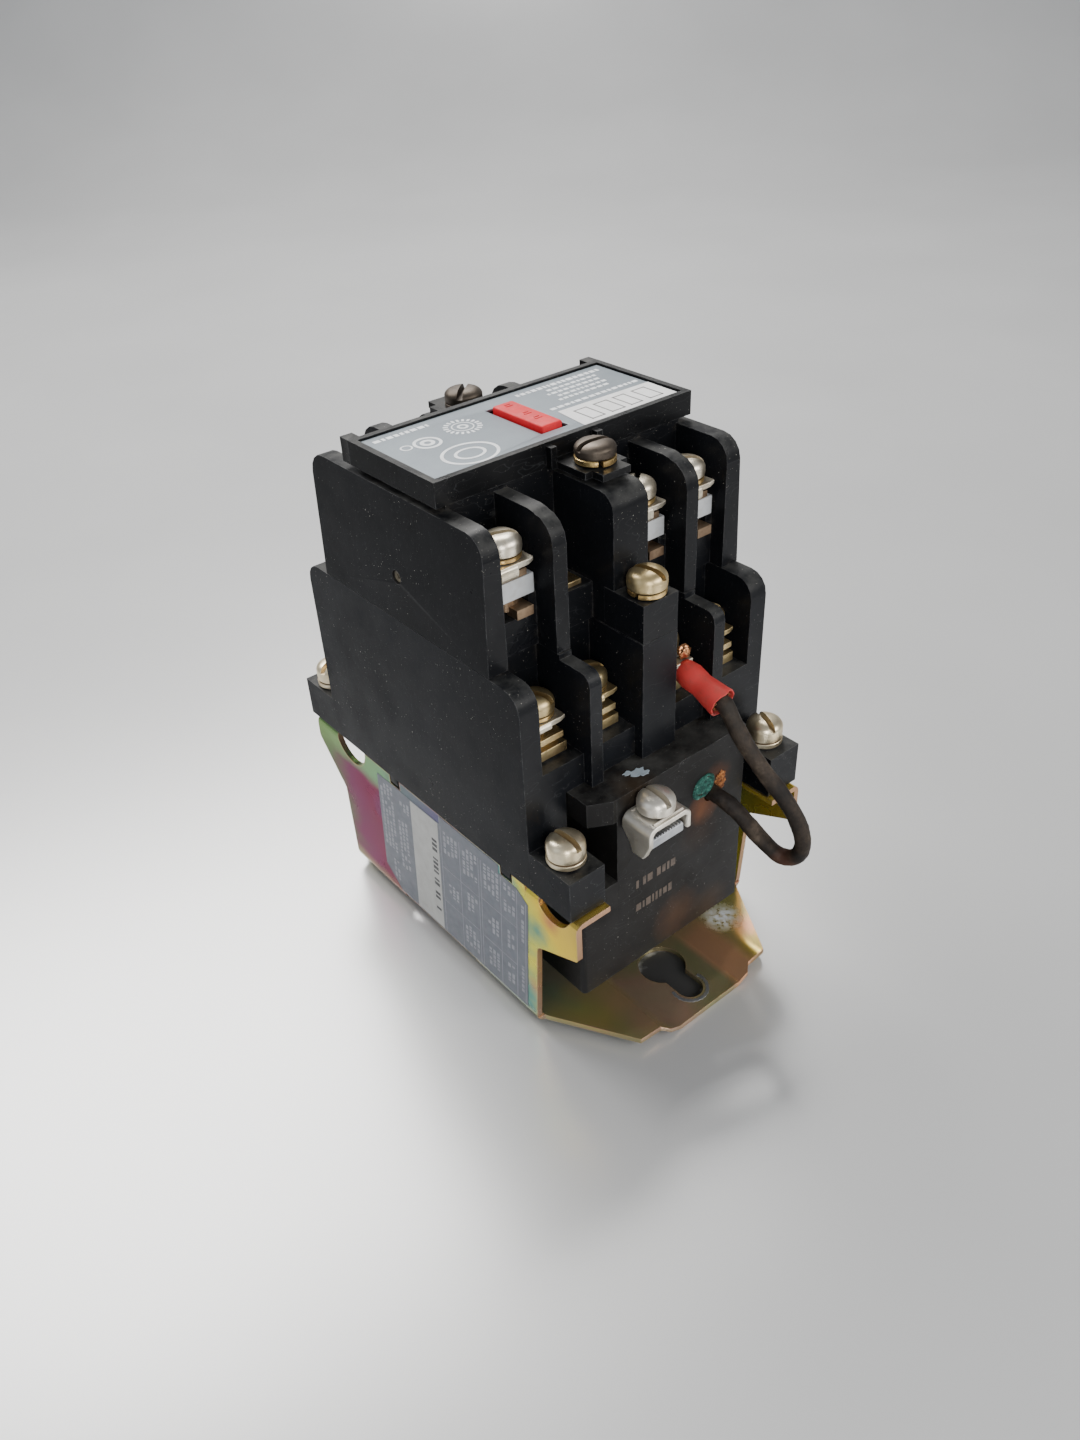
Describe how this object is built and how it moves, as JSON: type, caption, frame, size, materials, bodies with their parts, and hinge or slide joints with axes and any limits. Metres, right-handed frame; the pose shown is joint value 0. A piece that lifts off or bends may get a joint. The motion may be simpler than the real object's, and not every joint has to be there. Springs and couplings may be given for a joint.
{
  "type": "control contactor",
  "caption": "Two-deck panel-mounted control contactor with DC coil, captive screw terminals, a spring-returned contact carrier and a keyhole-footed sheet-metal base.",
  "frame": {"origin": "centre of the mounting plane, midway between the two keyhole feet", "axes": "+Z from the mounting plane to the face with the red indicator, +X across the width, -Y towards the coil-terminal end"},
  "size_m": [0.058, 0.1078, 0.1094],
  "materials": {
    "moulding": "dusty satin black thermoset moulding",
    "moulding_edge": "black encapsulation resin",
    "zinc": "iridescent yellow zinc plate",
    "iron": "plain dark iron",
    "brass": "tarnished brass",
    "nickel": "dull nickel plate",
    "plate": "blue-grey printed foil",
    "red": "red moulding",
    "white": "white moulding",
    "wire": "aged black insulation",
    "sleeve": "red vinyl sleeve",
    "spring": "bright spring wire"
  },
  "bodies": {
    "frame": {"base_bracket": "zinc", "magnet_frame": "iron", "coil_body": "moulding_edge", "lower_housing": "moulding", "upper_housing": "moulding", "top_cover": "moulding", "nameplate": "plate", "return_spring": "spring", "jumper_wire": "wire", "jumper_lug": "sleeve", "lower_strip_near_1": "brass", "lower_strip_far_1": "brass", "lower_strip_near_2": "brass", "lower_strip_far_2": "brass", "lower_strip_near_3": "brass", "lower_strip_far_3": "brass", "lower_strip_near_4": "brass", "lower_strip_far_4": "brass", "upper_strip_near_1": "brass", "upper_strip_far_1": "brass", "upper_strip_near_2": "brass", "upper_strip_far_2": "brass", "upper_strip_near_3": "brass", "upper_strip_far_3": "brass", "upper_cartridge_1": "white", "upper_cartridge_2": "white", "upper_cartridge_3": "white", "ear_screw_near_left": "brass", "ear_screw_near_right": "brass", "ear_screw_far_left": "brass", "ear_screw_far_right": "brass", "deck_screw_near": "brass", "deck_screw_far": "brass", "cover_screw_near": "nickel", "cover_screw_far": "nickel"},
    "moving_group": {"contact_carrier": "moulding_edge", "armature": "iron", "red_indicator": "red", "lower_bridge_1": "brass", "lower_bridge_2": "brass", "lower_bridge_3": "brass", "lower_bridge_4": "brass", "upper_bridge_1": "brass", "upper_bridge_2": "brass", "upper_bridge_3": "brass"},
    "coil_clamp": {"coil_terminal": "nickel"},
    "lower_terminal_near_1_group": {"lower_terminal_near_1": "brass"},
    "lower_terminal_far_1_group": {"lower_terminal_far_1": "brass"},
    "lower_terminal_near_2_group": {"lower_terminal_near_2": "brass"},
    "lower_terminal_far_2_group": {"lower_terminal_far_2": "brass"},
    "lower_terminal_near_3_group": {"lower_terminal_near_3": "brass"},
    "lower_terminal_far_3_group": {"lower_terminal_far_3": "brass"},
    "lower_terminal_near_4_group": {"lower_terminal_near_4": "brass"},
    "lower_terminal_far_4_group": {"lower_terminal_far_4": "brass"},
    "upper_terminal_near_1_group": {"upper_terminal_near_1": "nickel"},
    "upper_terminal_far_1_group": {"upper_terminal_far_1": "nickel"},
    "upper_terminal_near_2_group": {"upper_terminal_near_2": "nickel"},
    "upper_terminal_far_2_group": {"upper_terminal_far_2": "nickel"},
    "upper_terminal_near_3_group": {"upper_terminal_near_3": "nickel"},
    "upper_terminal_far_3_group": {"upper_terminal_far_3": "nickel"}
  },
  "joints": [
    {"name": "armature_travel", "type": "slide", "parent": "frame", "child": "moving_group", "axis": [0, 0, -1], "range_m": [0, 0.004], "stiffness_N_per_m": 800, "springref_m": -0.002, "deforming": ["return_spring"]},
    {"name": "coil_clamp_lift", "type": "slide", "parent": "frame", "child": "coil_clamp", "axis": [0, 0, 1], "range_m": [-0.0015, 0.0015], "stiffness_N_per_m": 300},
    {"name": "lower_terminal_near_1_lift", "type": "slide", "parent": "frame", "child": "lower_terminal_near_1_group", "axis": [0, 0, 1], "range_m": [-0.0011, 0.002], "stiffness_N_per_m": 300},
    {"name": "lower_terminal_far_1_lift", "type": "slide", "parent": "frame", "child": "lower_terminal_far_1_group", "axis": [0, 0, 1], "range_m": [-0.0011, 0.002], "stiffness_N_per_m": 300},
    {"name": "lower_terminal_near_2_lift", "type": "slide", "parent": "frame", "child": "lower_terminal_near_2_group", "axis": [0, 0, 1], "range_m": [-0.0011, 0.002], "stiffness_N_per_m": 300},
    {"name": "lower_terminal_far_2_lift", "type": "slide", "parent": "frame", "child": "lower_terminal_far_2_group", "axis": [0, 0, 1], "range_m": [-0.0011, 0.002], "stiffness_N_per_m": 300},
    {"name": "lower_terminal_near_3_lift", "type": "slide", "parent": "frame", "child": "lower_terminal_near_3_group", "axis": [0, 0, 1], "range_m": [-0.0002, 0.002], "stiffness_N_per_m": 300},
    {"name": "lower_terminal_far_3_lift", "type": "slide", "parent": "frame", "child": "lower_terminal_far_3_group", "axis": [0, 0, 1], "range_m": [-0.0011, 0.002], "stiffness_N_per_m": 300},
    {"name": "lower_terminal_near_4_lift", "type": "slide", "parent": "frame", "child": "lower_terminal_near_4_group", "axis": [0, 0, 1], "range_m": [-0.0011, 0.002], "stiffness_N_per_m": 300},
    {"name": "lower_terminal_far_4_lift", "type": "slide", "parent": "frame", "child": "lower_terminal_far_4_group", "axis": [0, 0, 1], "range_m": [-0.0011, 0.002], "stiffness_N_per_m": 300},
    {"name": "upper_terminal_near_1_lift", "type": "slide", "parent": "frame", "child": "upper_terminal_near_1_group", "axis": [0, 0, 1], "range_m": [-0.0004, 0.002], "stiffness_N_per_m": 300},
    {"name": "upper_terminal_far_1_lift", "type": "slide", "parent": "frame", "child": "upper_terminal_far_1_group", "axis": [0, 0, 1], "range_m": [-0.0004, 0.002], "stiffness_N_per_m": 300},
    {"name": "upper_terminal_near_2_lift", "type": "slide", "parent": "frame", "child": "upper_terminal_near_2_group", "axis": [0, 0, 1], "range_m": [-0.0004, 0.002], "stiffness_N_per_m": 300},
    {"name": "upper_terminal_far_2_lift", "type": "slide", "parent": "frame", "child": "upper_terminal_far_2_group", "axis": [0, 0, 1], "range_m": [-0.0004, 0.002], "stiffness_N_per_m": 300},
    {"name": "upper_terminal_near_3_lift", "type": "slide", "parent": "frame", "child": "upper_terminal_near_3_group", "axis": [0, 0, 1], "range_m": [-0.0004, 0.002], "stiffness_N_per_m": 300},
    {"name": "upper_terminal_far_3_lift", "type": "slide", "parent": "frame", "child": "upper_terminal_far_3_group", "axis": [0, 0, 1], "range_m": [-0.0004, 0.002], "stiffness_N_per_m": 300}
  ]
}
